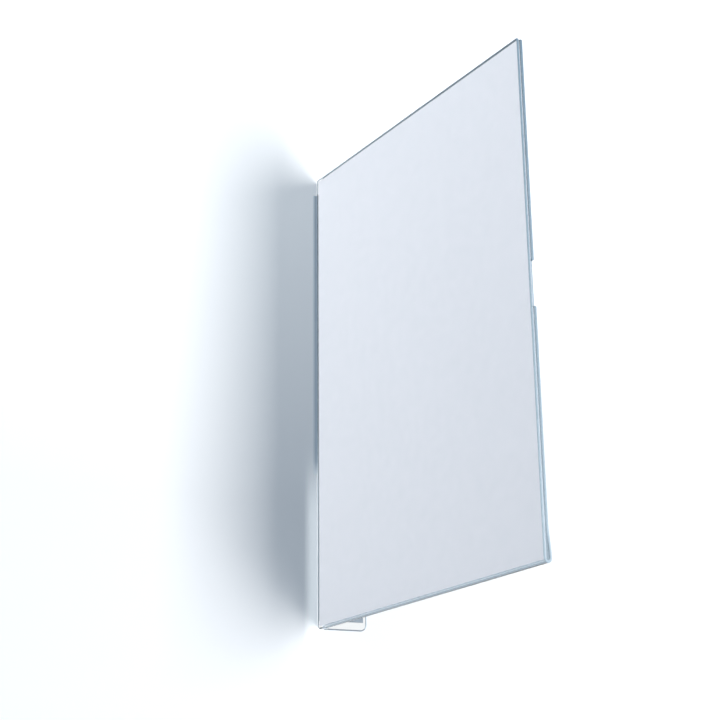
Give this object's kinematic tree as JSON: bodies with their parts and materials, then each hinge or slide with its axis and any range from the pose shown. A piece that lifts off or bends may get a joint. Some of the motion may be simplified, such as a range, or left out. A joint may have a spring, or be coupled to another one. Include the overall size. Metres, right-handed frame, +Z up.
{
  "type": "self-adhesive sign holder",
  "caption": "Clear folded acrylic pocket for an upright A4 sheet, standing out from a wall on a taped-on flange, open at the top and free edge for a slide-in insert.",
  "frame": {"origin": "middle of the mounting tape's wall face", "axes": "+Y into the wall, +Z up, +X along the wall from the panel towards the flange's free edge; the panel stands out towards -Y"},
  "size_m": [0.0598, 0.2063, 0.3003],
  "materials": {
    "clear_acrylic": "clear polished acrylic sheet with blue-grey cut edges",
    "white_paper": "smooth uncoated white paper",
    "foam_tape": "grey double-sided foam tape"
  },
  "bodies": {
    "holder": {"acrylic_holder": "clear_acrylic", "mounting_tape": "foam_tape"},
    "insert": {"insert_sheet": "white_paper"}
  },
  "joints": [
    {"name": "insert_slide", "type": "slide", "parent": "holder", "child": "insert", "axis": [0.2588, -0.9659, 0], "range_m": [0, 0.22]}
  ]
}
